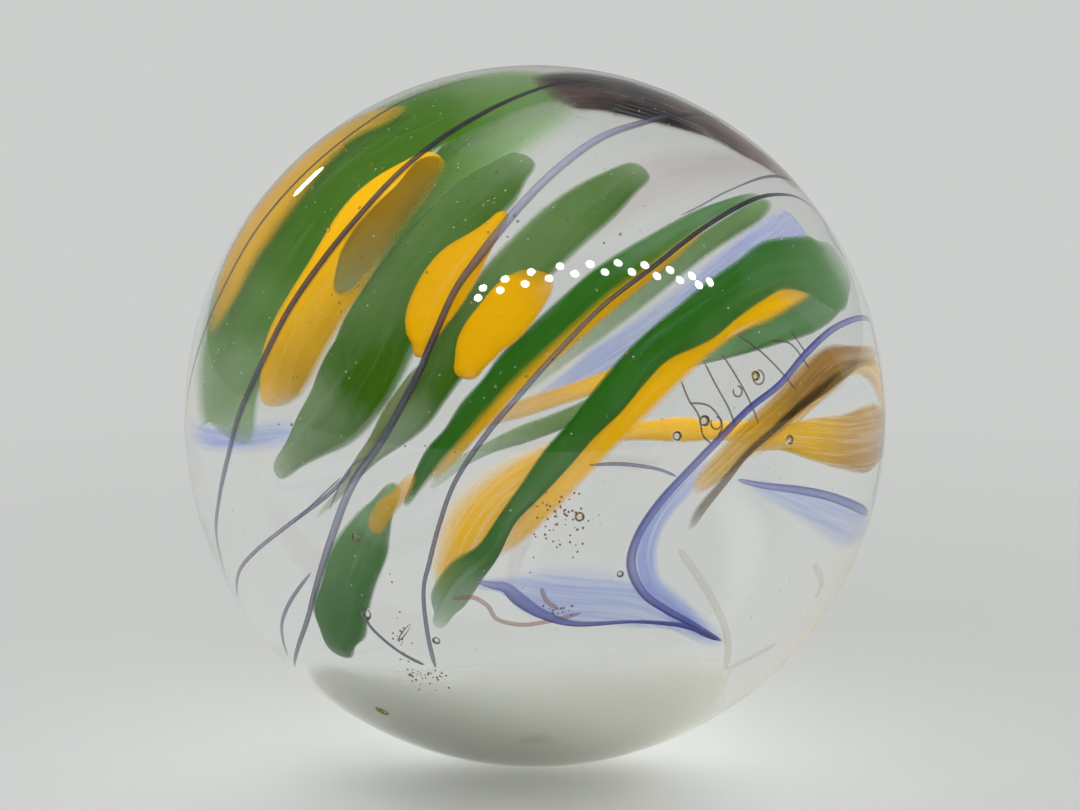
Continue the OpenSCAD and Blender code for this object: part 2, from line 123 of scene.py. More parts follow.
YELLOW = [
    (3, [(-78.5, 66.5, 0, 4, 8), (-87.5, 63, 4.5, 7, 7), (-94, 56.5, 7.5, 9, 6), (-91.5, 50.5, 8, 9, 5),
         (-87.5, 43, 9.5, 9, 4), (-85.5, 36.5, 10, 9, 4), (-84, 30.5, 9, 9, 4), (-81.5, 24.5, 7, 8, 5),
         (-81, 20, 4.5, 6, 6), (-80.5, 15.5, 0, 2, 7)], 0.55, 0.3, 1.5),
    (3, [(-36, 61, 0, 9, 2), (-39.5, 57, 4, 10, 1), (-43.5, 51.5, 5.5, 10, 0), (-45.5, 46, 6.5, 10, 1),
         (-45.5, 39, 7, 10, 2), (-46, 32, 7.5, 10, 3), (-48, 26, 7.5, 10, 4), (-50, 20.5, 7.5, 10, 5),
         (-51, 16, 7, 10, 6), (-51.5, 11.5, 5.5, 9, 6), (-51, 8.5, 0, 6, 6)], 0.25, 0.15, -3),
    (1, [(-6.5, 45, 0, 10, 0), (-8.5, 42.5, 1.5, 10, 0), (-11, 39.5, 2.5, 10, 0), (-14, 36, 4, 10, 0),
         (-16, 33, 4.5, 10, 0), (-17.5, 30, 4.5, 10, 0), (-19, 26.5, 4, 10, 0), (-19.5, 23.5, 3, 10, 0),
         (-19.5, 21.5, 1.5, 10, 0), (-19.5, 19.5, 0, 9, 1)], 0.08, 0.06),
    (1, [(-0.5, 34.5, 0, 4, 3), (-1, 32, 4, 9, 1), (-3.5, 29, 4.5, 10, 0), (-6, 26, 4.5, 10, 0),
         (-8.5, 23.5, 4, 10, 0), (-10, 21, 3.5, 10, 0), (-11, 18.5, 2.5, 10, 0), (-11.5, 16.5, 0, 9, 0)
         ], 0.1, 0.1),
    (1, [(-19, 1.5, 0, 7, 1), (-21.5, -2, 1.5, 7, 2), (-24, -4.5, 2, 7, 3), (-25.5, -7, 2, 6, 3),
         (-26.5, -9, 0, 5, 4)], 0.4, 0.4),
    (3, [(67.5, 27.5, 0, 8, 1), (60, 27.5, 2.5, 9, 1), (49.5, 26.5, 3, 10, 1), (41.5, 25, 2.5, 10, 2),
         (34.5, 22.5, 2.5, 10, 2), (28, 19, 2.5, 10, 2), (21.5, 15, 3, 10, 2), (16, 10.5, 3, 10, 2),
         (11.5, 6, 2.5, 10, 2), (6.5, 1, 2.5, 9, 2), (2, -4, 2.5, 9, 2), (-2.5, -9, 2, 8, 3),
         (-8.5, -14.5, 0, 4, 4)], 0.7, 0.15),
    (3, [(46.5, 44, 0, 6, 7), (26, 37, 2, 9, 6), (15.5, 32, 2.5, 10, 5), (4.5, 25, 3, 10, 4),
         (-3.5, 18, 2.5, 10, 3), (-10, 11, 2.5, 10, 3), (-14.5, 5, 2, 9, 4), (-19.5, -1, 0, 5, 6)
         ], 0.25, 0.5),
    (5, [(24, 21, 0, 8, 1), (14, 17.5, 1.5, 9, 2), (5.5, 15, 1.5, 8, 3), (-2.5, 12.5, 1.5, 7, 4),
         (-9, 10, 1, 5, 5), (-17, 6, 0, 3, 6)], 0.25, 0.35),
    (6, [(16, 6.5, 0, 6, 2), (23, 7, 1.5, 9, 3), (32.5, 6.5, 2, 9, 3), (43, 5, 1.5, 9, 2), (54.5, 3, 2, 8, 2),
         (69.5, 0.5, 0, 3, 3)], 0.25, 0.25),
]
FLAME = [
    (3, [(7, 7.5, 0, 9, 0), (1.5, 4.5, 2, 9, 0), (-4, 1, 3.5, 9, 0), (-9, -3.5, 4.5, 9, 0),
         (-12.5, -8.5, 5, 9, 0), (-15, -13.5, 4, 9, 1), (-16.5, -17, 3, 8, 1), (-17.5, -20.5, 1.5, 5, 2),
         (-18.5, -23.5, 0, 2, 3)], 0.05, 1.4, 4),
]
AMBER = [
    (3, [(28, -3.5, 0, 4, 1), (33, 0, 3.5, 8, 2), (40, 4.5, 4.5, 9, 4), (47.5, 8, 5, 10, 6),
         (57, 12, 5.5, 10, 9), (66, 14, 4.5, 10, 10), (77.5, 13, 2.5, 8, 10), (93, 10, 0, 3, 10)], 0.35, 0.3),
    (4, [(41.5, 3, 0, 5, 0), (50.5, 3, 3, 9, 0), (59.5, 1.5, 5, 10, 1), (71, -1, 6.5, 10, 5),
         (85.5, -3, 8, 9, 8), (98, -4.5, 5.5, 8, 9), (108, -7, 0, 4, 10)], 0.15, 0.15),
    (5, [(112.5, -6.5, 0, 5, 5), (109, -1.5, 4, 7, 5), (103, 4, 4.5, 7, 5), (88.5, 9, 1.5, 7, 4),
         (70.5, 9, 3, 7, 3), (57, 5, 3, 6, 2), (45, -0.5, 0, 3, 1)], 0.4, 0.3),
]
OLIVE = [
    (1, [(-28.5, 56, 0, 8, 0), (-29.5, 52.5, 7, 9, 0), (-30.5, 47.5, 8, 9, 1), (-33, 43, 9, 9, 1),
         (-35, 38, 10, 9, 2), (-36, 34, 9, 9, 4), (-36.5, 31, 6.5, 9, 7), (-35.5, 28.5, 0, 8, 10)
         ], 0.5, 0.2, -1),
]
OLIVE_STRIP = [
    (1, [(-18.5, 18.5, 0, 7, 3), (-20.5, 15.5, 2.5, 9, 3), (-23.5, 10.5, 3, 9, 2), (-26, 6, 2.5, 9, 2),
         (-29, 2, 2, 8, 3), (-32, -2.5, 1.5, 6, 4), (-38, -8, 0, 2, 6)], 0.35, 0.45),
]
CORE = [
    (1, [(25, -8.5, 0, 3, 4), (27, -5, 7, 7, 3), (31.5, -0.5, 6, 8, 2), (35.5, 3, 5, 9, 1),
         (40, 5.5, 5, 9, 0), (47.5, 9, 6.5, 10, 0), (55, 11, 8, 9, 1), (60.5, 12, 7, 8, 3),
         (70, 12.5, 5, 6, 6), (83, 10, 0, 3, 9)], 0.5, 0.5),
]
# A dark streaky patch at the top that is a painted refraction: it stands in for the image of a dark base
# beneath the ball, seen through the glass.
PAINTED_REFRACTION_PATCH = [
    (3, [(10, 85, 0, 5, 2), (56, 84.5, 8, 10, 1), (89, 79, 9.5, 10, 0), (91.5, 72.5, 9, 10, 0),
         (93.5, 66, 8, 10, 1), (95, 60, 6.5, 10, 3), (95, 54, 5.5, 10, 5), (97, 47.5, 3.5, 9, 7),
         (101, 39.5, 0, 4, 9)], 0.6, 0.08),
]
VEILS = [
    (6, [(116, 28, 0, 4, 6), (110.5, 32, 5.5, 8, 6), (69.5, 38, 5.5, 8, 5), (46.5, 34.5, 5, 7, 4),
         (28.5, 28, 5, 6, 3), (15, 22, 4.5, 6, 2), (5.5, 17, 2.5, 5, 1), (-0.5, 14, 0, 2, 0)], 0.15, 0.4),
    (5, [(-112.5, -5.5, 0, 5, 3), (-89.5, -3.5, 4, 8, 2), (-71, -0.5, 4.5, 8, 2), (-58, 2.5, 4.5, 7, 2),
         (-48.5, 4, 0, 3, 2)], 0.9, 0.9),
    (5, [(37.5, 0.5, 0, 4, 2), (28.5, -6.5, 3.5, 7, 2), (24.5, -12, 3.5, 8, 2), (23.5, -18, 3.5, 8, 2),
         (26, -24.5, 3, 8, 2), (33, -30.5, 3.5, 7, 3), (49, -39.5, 0, 3, 4)], 0.98, 0.1, 2),
    (5, [(-15, -24, 0, 3, 0), (-7.5, -24, 3, 5, 0), (0, -25.5, 8.5, 6, 0), (8, -26.5, 10, 6, 0),
         (17, -27.5, 9.5, 6, 0), (25.5, -29.5, 9, 6, 0), (37.5, -34.5, 4.5, 6, 0), (57.5, -42.5, 0, 4, 0)
         ], 0.9, 0.3),
    (5, [(43.5, -4.5, 0, 2, 1), (54.5, -9, 3, 5, 2), (69.5, -14.5, 5, 6, 3), (91.5, -20, 6.5, 6, 4),
         (111, -21, 3, 5, 4), (121, -19, 0, 2, 4)], 0.3, 0.95),
]
# Faint veils that tint the clear glass: rose above, at the lower left and in front, and haze at the right
ROSE = [
    (5, [(117, 37, 0, 2, 2), (104, 48, 6, 5, 2), (82, 56, 9, 6, 2), (50, 59, 10, 6, 2), (24, 53, 7, 4, 2),
         (8, 44, 0, 1, 2)], 0.9, 0.9),
    (5, [(-66, -10, 0, 1, 3), (-58, -17, 8, 2, 3), (-51, -26, 10, 2, 3), (-47, -35, 0, 1, 3)], 0.9, 0.9),
    (4, [(4, 2, 0, 2, 0), (1, -4, 3, 3, 0), (-2, -11, 3, 4, 0), (-4, -17, 2.5, 3, 0), (-5, -23, 0, 2, 0)
         ], 0.4, 0.9),
    (5, [(27, 1.5, 0, 2, 0), (21, 1, 2.5, 5, 0), (14, 2, 2.5, 4, 0), (7, 2, 0, 2, 0)], 0.9, 0.9),
]
HAZE = [
    (6, [(38, -5, 0, 1, 0), (46, -12, 7, 2, 0), (52, -20, 10, 3, 0), (56, -30, 10, 3, 0), (54, -40, 7, 2, 1),
         (46, -48, 0, 1, 2)], 0.95, 0.95),
]
BLUE_LINES = [
    [(75, -12.5, 4, 4), (78, 0, 4, 4), (79.5, 7, 4, 4), (80.5, 14.5, 4, 4), (81, 17.5, 3.5, 5),
     (71.5, 19.5, 4, 5), (59.5, 19.5, 4.5, 4), (50, 17, 5, 3), (42, 13, 4.5, 3), (35, 10, 4.5, 2),
     (28.5, 5.5, 5, 3), (23, 1, 5, 4), (19, -3, 5.5, 4), (16, -7.5, 5.5, 4), (15, -12.5, 6, 4),
     (17.5, -17.5, 5.5, 3), (22, -21, 5, 2), (27, -24, 4.5, 1), (35.5, -29, 3, 1)],
    [(-9.5, -15, 2, 7), (-7, -15.5, 5, 6), (-4.5, -16, 7.5, 5), (-2.5, -18, 9.5, 4), (1, -20.5, 7.5, 3),
     (6.5, -22.5, 4.5, 2), (16, -22.7, 2.5, 1), (23.5, -23.8, 3.5, 0), (28, -25.2, 4, 0), (31, -26.8, 4, 0),
     (34.5, -28.5, 3, 1)],
    [(73.5, -13, 7, 5), (56, -7, 6, 5), (46, -4, 5.5, 5), (37.5, -2, 4, 6), (32.5, -0.5, 2.5, 7)],
]
THREADS = [
    [(-88, -22, 3.5, 4), (-79, 4, 4, 4), (-75, 14.5, 5, 3), (-72, 25, 5, 3), (-71, 36, 6, 2),
     (-69.5, 46, 6, 2), (-68.5, 56.5, 5, 2), (-69.5, 66.5, 5, 2), (-64.5, 73, 4, 3), (-59.5, 79, 3.5, 4)],
    [(-71.5, -24.5, 4, 7), (-67, -15.5, 6, 6), (-61.5, -8, 7, 6), (-57, -0.5, 8, 5), (-54, 6.5, 8.5, 4),
     (-50, 15, 9, 3), (-46.5, 24.5, 9.5, 2), (-43, 32.5, 9.5, 2), (-39, 41.5, 9, 2), (-35, 50.5, 8.5, 2),
     (-29.5, 58.5, 8.5, 1), (-21.5, 65.5, 8, 1), (-8, 72.5, 7, 1), (19.5, 78, 6, 1), (64.5, 78.5, 5, 2),
     (86, 73, 4, 3), (95, 66, 3, 4)],
    [(-70.5, -27.5, 4.5, 6), (-61, -20.5, 4.5, 6), (-52, -15, 4.5, 6), (-43, -9.5, 4.5, 6),
     (-33.5, -3, 4.5, 5), (-29, 1.5, 3.5, 5)],
    [(100, 52, 3, 4), (85.5, 59.5, 4, 3), (62.5, 63, 8, 1), (40, 62.5, 9, 5), (21, 59.5, 10, 9),
     (7.5, 53.5, 10, 10), (-0.5, 47.5, 10, 10), (-6.5, 41, 10, 8), (-10.5, 35.5, 10, 4), (-14, 30, 8, 3),
     (-17, 21.5, 8, 2), (-19, 16, 8, 3), (-23.5, 7, 8, 5), (-29, -1, 9, 7), (-33.5, -10, 9, 6),
     (-39, -19.5, 7, 4), (-45.5, -28, 6, 4), (-63.5, -41, 4, 3)],
    [(-60.5, -37.5, 4.5, 4), (-53.5, -29.5, 4.5, 5), (-47, -23.5, 4.5, 5), (-39, -16.5, 3.5, 6)],
    [(86, 8, 2, 8), (85, 24, 2, 7), (79.5, 32, 2.5, 7), (83.5, 36, 2.5, 6), (77.5, 40.5, 3.5, 4),
     (65, 43, 4.5, 2), (53, 43, 5, 1), (34.5, 39, 5, 1), (22, 33.5, 5, 2), (11.5, 27.5, 5, 4),
     (2.5, 19.5, 6, 6), (-2.5, 14, 6, 6), (-7.5, 8, 6, 5), (-12, 1, 5, 4), (-14.5, -5.5, 5, 4),
     (-16.5, -12, 5, 4), (-18, -17, 4.5, 4), (-18.5, -24.5, 5, 5), (-18.5, -32.5, 5, 5)],
    [(-20.5, -32, 5, 3), (-25, -29.5, 4, 3), (-29, -25.5, 4, 3), (-30, -22.5, 3.5, 4)],
    [(84, 43.5, 3.5, 3), (76, 45.5, 4.5, 2), (66, 46.5, 3.5, 4), (53, 46, 2, 5), (45, 45, 2, 5),
     (38, 43.5, 2, 6), (31.5, 42, 1.5, 7)],
]
FINE_THREADS = [
    [(-25.5, 4, 2, 6), (-29.5, 1.5, 2, 6), (-33.5, -5.5, 1.5, 6)],
    [(-31, 0, 2, 6), (-35, -3.5, 2, 6), (-41, -8.5, 1.5, 6)],
    [(8, 3.5, 2.5, 6), (13, 3.5, 4, 6), (18.5, 2.5, 3.5, 6), (22, 1, 2.5, 6)],
]

# A painted highlight: a short white streak of pale glass, near the tip of a green band, that stands in for a
# glint.
PAINTED_HIGHLIGHT_STREAKS = [(4, [(28, 20, 0, 7, 0), (24, 19, 1, 9, 0), (20, 18, 1, 8, 0), (16, 16, 0, 4, 0)], 0.5, 0.5)]
HIGHLIGHT_STREAK_W, HIGHLIGHT_STREAK_T = 0.5, 0.3

# Lines of full width, each a list of (longitude, latitude): a bundle of hairs just under the surface at the
# right, rust threads, and the edges of the pale haze
HAIRS = [
    [(35.5, 21.5), (39.5, 18.5), (43, 15), (46, 11.5)],
    [(42, 20), (46.5, 19), (49, 16), (50, 14.5)],
    [(31.5, 19), (33.5, 15.5), (35.5, 11.5), (37, 7.5)],
    [(28, 18), (29.5, 14.5), (31.5, 10.5), (32.5, 7.5)],
    [(23.5, 15.5), (24.5, 12.5), (26, 10), (26.5, 7), (28, 5.5)],
    [(24.5, 12), (27.5, 11.5), (29.2, 10), (30, 8), (29.2, 6.7)],
    [(47.5, 21), (49, 18.5), (50, 17)],
]
CURLS = [(38, 14.7, 0.3), (33.5, 13, 0.22), (29, 8.6, 0.25)]  # curled hairs: longitude, latitude, radius
HAIR_D, HAIR_COVER = 0.09, 0.9
RED_LINES = [
    [(-14, -19.5), (-10.5, -19), (-8, -20.5), (-6.5, -23), (-2.5, -24), (1.5, -23.5), (8, -21.8)],
    [(1, -17), (2, -19.5), (4, -21)],
]
RED_D, RED_COVER = 0.22, 0.7
EDGE_LINES = [
    [(25, -12.5), (30, -18.5), (35, -24.5), (41, -32), (46, -40)],
    [(46, -40), (52.5, -38), (59.5, -36)],
    [(59, -20), (63.5, -23), (66, -25.5), (65.5, -27.5)],
]
EDGE_D, EDGE_COVER = 0.35, 0.35
LINE_PALE = 2  # paleness of these lines, in tenths
LINE_LEAN = 0.25  # how much paler one side of a blue line is

# Patches of brown grains: (longitude, latitude, half width, half height, count)
GRAIN_PATCHES = [(4, -6, 5, 6.5, 70), (-23, -37, 5, 2.5, 40), (-25, -28, 1.5, 9, 24), (4, -21.5, 3, 1.5, 24)]
GRAIN_D, GRAIN_SIZES = 0.1, (0.5, 1.3)  # a diameter, and the least and most of it
# Scattered specks and seeds: (count, two longitudes, two latitudes and two radii to stay between)
SPECKS = (260, -85, 60, -30, 70, 0.025, 0.05)
SEEDS = (60, -48, 20, 4, 52, 0.035, 0.075)
GRAIN_DEPTH, SPECK_DEPTH, SEED_DEPTH = 0.2, 0.5, 0.1  # how far from their layer they lie

GOB_MIDDLE = (0, -62)
# How many degrees the gob spreads from its middle at each step of 15 degrees, from upwards to the right
GOB_SPREAD = [31, 32, 33, 34.5, 36, 37.5, 38, 36, 39.5, 37.5, 33, 29,
              28, 29, 32, 38, 44.5, 45, 40, 35, 32, 30, 30, 30.5]
GOB_FADES = (0.1, 0.6)  # widths of its soft rim all round and at the top, as shares of the way to its middle
GOB_RIM_T = 0.05  # half its thickness at the rim
# The gob's second colour is a painted shade that darkens it towards its bottom: it starts at this height,
# which falls to the right by this slope, and is full this far below.
GOB_PAINTED_SHADE = (-9, 0.45, 5)
GOB_SECTORS, GOB_SHELLS = 96, 16

# Air bubbles: (longitude, latitude, tenths of the largest one's diameter)
BUBBLES = [(-31, -24, 10), (28, 9, 8), (39, 15, 7), (45, 4, 7), (-18, -28, 6), (23, 7, 7), (-30, -10, 7),
           (7, -5, 7), (14, -15, 5), (-48, 39, 5)]
BUBBLE_D = 0.64
LONG_BUBBLE = (-24, -27, 0.11, 5, 35)  # longitude, latitude, radius, stretch, and lean in degrees
PIT = (-36, -45)
PIT_D, PIT_DEPTH = 1.2, 0.15
PIT_ROOM = 1.6  # how far round the pit the skin has finer faces, in radii of the pit's rim


# ---------------------------------------------------------------- mesh tools
def place(lon, lat):
    """Point of the unit ball."""
    lon, lat = math.radians(lon), math.radians(lat)
    return np.array([math.cos(lat) * math.sin(lon), -math.cos(lat) * math.cos(lon), math.sin(lat)])


def unit(v):
    return v / np.linalg.norm(v)


def cubic(a, b, c, d, t):
    """Smooth value between b, at t = 0, and c, at t = 1 (Catmull-Rom)."""
    return (2 * b + (c - a) * t + (2 * a - 5 * b + 4 * c - d) * t * t + (3 * b - a - 3 * c + d) * t ** 3) / 2


def along(rows, u):
    """Smooth value of rows of numbers at u, where whole numbers fall on the rows."""
    last = len(rows) - 1
    i = min(int(u), last - 1)
    return cubic(rows[max(i - 1, 0)], rows[i], rows[i + 1], rows[min(i + 2, last)], u - i)


def axes_along(spots, u, nearby=0.02):
    """The point of a path at u, and the direction across it, both of length 1."""
    last = len(spots) - 1
    middle = unit(along(spots, u))
    way = along(spots, min(u + nearby, last)) - along(spots, max(u - nearby, 0))
    return middle, unit(np.cross(way, middle))


def stops(last):
    """Places of the rings along a band, closer together on its rounded tips."""
    tip = [1 - math.cos(math.pi / 2 * k / TIP_STEPS) for k in range(1, TIP_STEPS)]
    return tip + [k / STEPS for k in range(STEPS, (last - 1) * STEPS + 1)] + [last - t for t in reversed(tip)]


def ease(x):
    """0 below 0, 1 above 1, and smooth between."""
    x = min(1.0, max(0.0, x))
    return x * x * (3 - 2 * x)


class Shape:
    """Vertices, faces and the numbers that the materials read at each vertex."""

    def __init__(self):
        self.verts, self.faces, self.cover, self.tint, self.grain = [], [], [], [], []

    def point(self, at, cover, tint, grain=(0, 0, 0)):
        self.verts.append(at * MM)
        self.cover.append(cover)
        self.tint.append(tint)
        self.grain.append(grain)
        return len(self.verts) - 1

    def close(self, first, rings, end):
        """Joins rings of equal count between two points."""
        n = len(rings[0])
        for k in range(n):
            j = (k + 1) % n
            self.faces.append((first, rings[0][j], rings[0][k]))
            self.faces.append((rings[-1][k], rings[-1][j], end))
            for a, b in zip(rings, rings[1:]):
                self.faces.append((a[k], a[j], b[j], b[k]))

    def band(self, stations, r, full_w, t, fade_left, fade_right, lean=0, seed=0, sides=28):
        """A flat band of glass on the layer of radius r, no thicker than t."""
        last = len(stations) - 1
        spots = [place(s[0], s[1]) for s in stations]
        numbers = [np.array(s[2:5], float) / 10 for s in stations]
        numbers[0][0], numbers[-1][0] = numbers[1][0], numbers[-2][0]
        rings, run, before = [], 0.0, spots[0]
        first = self.point(spots[0] * r, 0.0, numbers[0][2], (0, 0, seed))
        for u in stops(last):
            middle, side = axes_along(spots, u)
            run += np.linalg.norm(middle - before) * r
            before = middle
            to_tip = min(u, last - u, 1)
            tip = math.sqrt(1 - (1 - to_tip) ** 2)
            share, cover, tint = along(numbers, u)
            w = full_w * share * tip
            thick = min(t * tip, w)
            ring = []
            for k in range(sides):
                a = 2 * math.pi * k / sides
                c = math.cos(a)
                swing = w / 2 * c / r
                at = (middle * math.cos(swing) + side * math.sin(swing)) * (r + thick / 2 * math.sin(a))
                edge = 1 - math.sqrt(min(1, (1 - to_tip) ** 2 + to_tip * (2 - to_tip) * c * c))
                fade = fade_left + (fade_right - fade_left) * (1 + c) / 2
                ring.append(self.point(at, cover * ease(edge / max(fade, 0.001)), tint + lean * c / 10,
                                       (run, w / 2 * c, seed)))
            rings.append(ring)
        self.close(first, rings, self.point(spots[-1] * r, 0.0, numbers[-1][2], (run, 0, seed)))

    def thread(self, points, r, full_w, t, full_cover=1.0, lean=0, steps=8, sides=12):
        """A thread with sides darker than its middle, no thicker than t. Lean adds tint to its left side."""
        last = len(points) - 1
        spots = [place(p[0], p[1]) for p in points]
        numbers = [np.array(p[2:4], float) for p in points]
        rings = []
        for i in range(1, last * steps):
            middle, side = axes_along(spots, i / steps)
            width, pale = along(numbers, i / steps)
            half = full_w * width / 20 * math.sqrt(min(1, min(i, last * steps - i) / TIP_RINGS))
            half_t = min(half, t / 2)
            ring = []
            for k in range(sides):
                a = 2 * math.pi * k / sides
                at = middle * (r + half_t * math.sin(a)) + side * half * math.cos(a)
                cover = full_cover * (1 - PALE_CLEARS * pale / 10) * ease(abs(math.sin(a)) / THREAD_EDGE)
                tint = pale / 10 * math.sin(a) ** 2 - lean * math.cos(a)
                ring.append(self.point(at, cover, tint, (i / steps, 0, 0)))
            rings.append(ring)
        self.close(self.point(spots[0] * r, 0.5, 0), rings, self.point(spots[-1] * r, 0.5, 0))

    def ball(self, middle, radius):
        """A small grain."""
        made = bmesh.new()
        bmesh.ops.create_icosphere(made, subdivisions=1, radius=1)
        start = len(self.verts)
        for v in made.verts:
            self.point(middle + np.array(v.co) * radius, 1, 0)
        self.faces += [tuple(start + v.index for v in f.verts) for f in made.faces]
        made.free()

    def build(self, name, material, replaced=None):
        """Makes the piece, with its faces turned outwards."""
        mesh = bpy.data.meshes.new(name)
        mesh.from_pydata([tuple(v) for v in self.verts], [], self.faces)
        for key, values in (("cover", self.cover), ("tint", self.tint)):
            mesh.attributes.new(key, "FLOAT", "POINT").data.foreach_set("value", values)
        grain = [x for g in self.grain for x in g]
        mesh.attributes.new("grain", "FLOAT_VECTOR", "POINT").data.foreach_set("vector", grain)
        turned = bmesh.new()
        turned.from_mesh(mesh)
        bmesh.ops.recalc_face_normals(turned, faces=turned.faces)
        turned.to_mesh(mesh)
        turned.free()
        return put(name, mesh, material, replaced)


def put(name, mesh, material, replaced=None):
    """Adds a piece to the part: smooth, on its body, with its material."""
    mesh.validate()
    mesh.polygons.foreach_set("use_smooth", [True] * len(mesh.polygons))
    mesh.materials.append(material)
    piece = bpy.data.objects.new(name, mesh)
    bpy.context.scene.collection.objects.link(piece)
    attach(piece, "root")
    if replaced:
        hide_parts(replaced)
    return piece


# ---------------------------------------------------------------- materials
def node(tree, kind, **values):
    """A shader node with its sockets and settings filled in."""
    n = tree.nodes.new(kind)
    for key, value in values.items():
        if key in n.inputs:
            n.inputs[key].default_value = value
        else:
            setattr(n, key, value)
    return n


def maths(tree, operation, a, b=None, c=None, clamp=False):
    """The output of a Math node that takes numbers and sockets alike."""
    n = tree.nodes.new("ShaderNodeMath")
    n.operation, n.use_clamp = operation, clamp
    for i, v in enumerate((a, b, c)):
        if isinstance(v, (int, float)):
            n.inputs[i].default_value = v
        elif v is not None:
            tree.links.new(v, n.inputs[i])
    return n.outputs[0]


def step(tree, value, low, high):
    """0 below low, 1 above high, and smooth between."""
    n = node(tree, "ShaderNodeMapRange", interpolation_type="SMOOTHSTEP")
    tree.links.new(value, n.inputs[0])
    n.inputs[1].default_value, n.inputs[2].default_value = low, high
    return n.outputs[0]


def mix_shader(tree, fac, a, b):
    """Shader a where fac is 0, and b where it is 1."""
    n = tree.nodes.new("ShaderNodeMixShader")
    if isinstance(fac, (int, float)):
        n.inputs[0].default_value = fac
    else:
        tree.links.new(fac, n.inputs[0])
    tree.links.new(a.outputs[0], n.inputs[1])
    tree.links.new(b.outputs[0], n.inputs[2])
    return n


def finish_material(tree, shader):
    tree.links.new(shader.outputs[0], node(tree, "ShaderNodeOutputMaterial").inputs["Surface"])


def srgb(r, g, b):
    """Colour as seen, turned into the linear values that shaders take."""
    return tuple(c / 12.92 if c <= 0.04045 else ((c + 0.055) / 1.055) ** 2.4 for c in (r, g, b)) + (1.0,)


def new_material(name):
    mat = bpy.data.materials.new(name)
    mat.use_nodes = True
    mat.node_tree.nodes.clear()
    return mat, mat.node_tree


# Share of its cover with which coloured glass holds light back from the glass behind it. At full cover,
# everything behind it would be dark, as it isn't in the real ball.
HOLDS_BACK = 0.4
STREAK_SCALE = (0.22, 7.3)  # of the noise that makes the streaks: along a band, and from one band to the next
CLOUD_SCALE = 420.0  # of the noise that makes the clouds, per metre
CLEAR_COLOUR = (0.95, 0.955, 0.945, 1)
LETS_THROUGH = 0.8  # share of the light that each face of the clear ball lets in
GLASS_IOR = 1.5


def coloured_glass(name, first, second, clear, streaks, pitch, mottle, cloud_scale=CLOUD_SCALE):
    """Glass of a body colour inside the clear ball: it fades by cover, turns from one colour to the other by
    tint, and is drawn out in streaks along the band. The share clear of it tints what lies behind, and the
    rest hides it. Streaks is their strength, pitch their spacing in millimetres, and mottle how far the colour
    drifts."""
    mat, tree = new_material(name)
    cover, tint, grain = (node(tree, "ShaderNodeAttribute", attribute_name=key)
                          for key in ("cover", "tint", "grain"))
    stretch = node(tree, "ShaderNodeMapping", Scale=(STREAK_SCALE[0], 1 / pitch, STREAK_SCALE[1]))
    tree.links.new(grain.outputs["Vector"], stretch.inputs["Vector"])
    streak = node(tree, "ShaderNodeTexNoise", Scale=1.0, Detail=3.0, Roughness=0.55)
    tree.links.new(stretch.outputs[0], streak.inputs["Vector"])
    cloud = node(tree, "ShaderNodeTexNoise", Scale=cloud_scale, Detail=2.0, Roughness=0.5)
    tree.links.new(node(tree, "ShaderNodeTexCoord").outputs["Object"], cloud.inputs["Vector"])
    streak_off = maths(tree, "SUBTRACT", streak.outputs["Fac"], 0.5)
    cloud_off = maths(tree, "SUBTRACT", cloud.outputs["Fac"], 0.5)
    drift = maths(tree, "MULTIPLY", maths(tree, "MULTIPLY_ADD", cloud_off, 2.0, streak_off), mottle)
    colour = node(tree, "ShaderNodeMix", data_type="RGBA")
    tree.links.new(maths(tree, "ADD", tint.outputs["Fac"], drift, clamp=True), colour.inputs[0])
    colour.inputs[6].default_value, colour.inputs[7].default_value = srgb(*first), srgb(*second)
    body = maths(tree, "MULTIPLY_ADD", streak_off, streaks, 1.0)
    path = node(tree, "ShaderNodeLightPath").outputs
    light = maths(tree, "MAXIMUM", path["Is Shadow Ray"], path["Is Diffuse Ray"])
    held = maths(tree, "MULTIPLY_ADD", light, HOLDS_BACK - 1, body)
    alpha = maths(tree, "MULTIPLY", cover.outputs["Fac"], held, clamp=True)
    dense, tinted, none = (node(tree, "ShaderNodeBsdf" + kind)
                           for kind in ("Diffuse", "Transparent", "Transparent"))
    tree.links.new(colour.outputs[2], dense.inputs["Color"])
    tree.links.new(colour.outputs[2], tinted.inputs["Color"])
    front = mix_shader(tree, alpha, none, mix_shader(tree, clear, dense, tinted))
    inside = node(tree, "ShaderNodeNewGeometry").outputs["Backfacing"]
    finish_material(tree, mix_shader(tree, inside, front, none))
    return mat


def clear_glass():
    """Clear glass that lets most of the light through to the colours inside it."""
    mat, tree = new_material("clear_glass")
    shader = node(tree, "ShaderNodeBsdfPrincipled", Roughness=0.0, IOR=GLASS_IOR)
    shader.inputs["Base Color"].default_value = CLEAR_COLOUR
    shader.inputs["Transmission Weight"].default_value = 1.0
    let_through = node(tree, "ShaderNodeBsdfTransparent", Color=(LETS_THROUGH,) * 3 + (1,))
    shadow = node(tree, "ShaderNodeLightPath").outputs["Is Shadow Ray"]
    finish_material(tree, mix_shader(tree, shadow, shader, let_through))
    return mat


# ---------------------------------------------------------------- the part
def add_bubble(bm, lon, lat, r, shape):
    """A hollow in the glass: a small ball, drawn out by the matrix shape, with its faces turned inwards."""
    made = bmesh.ops.create_icosphere(bm, subdivisions=2, radius=1)
    move = Matrix.Translation(Vector(place(lon, lat)) * r * MM) @ shape
    bmesh.ops.transform(bm, matrix=move, verts=made["verts"])
    bmesh.ops.reverse_faces(bm, faces=list({f for v in made["verts"] for f in v.link_faces}))


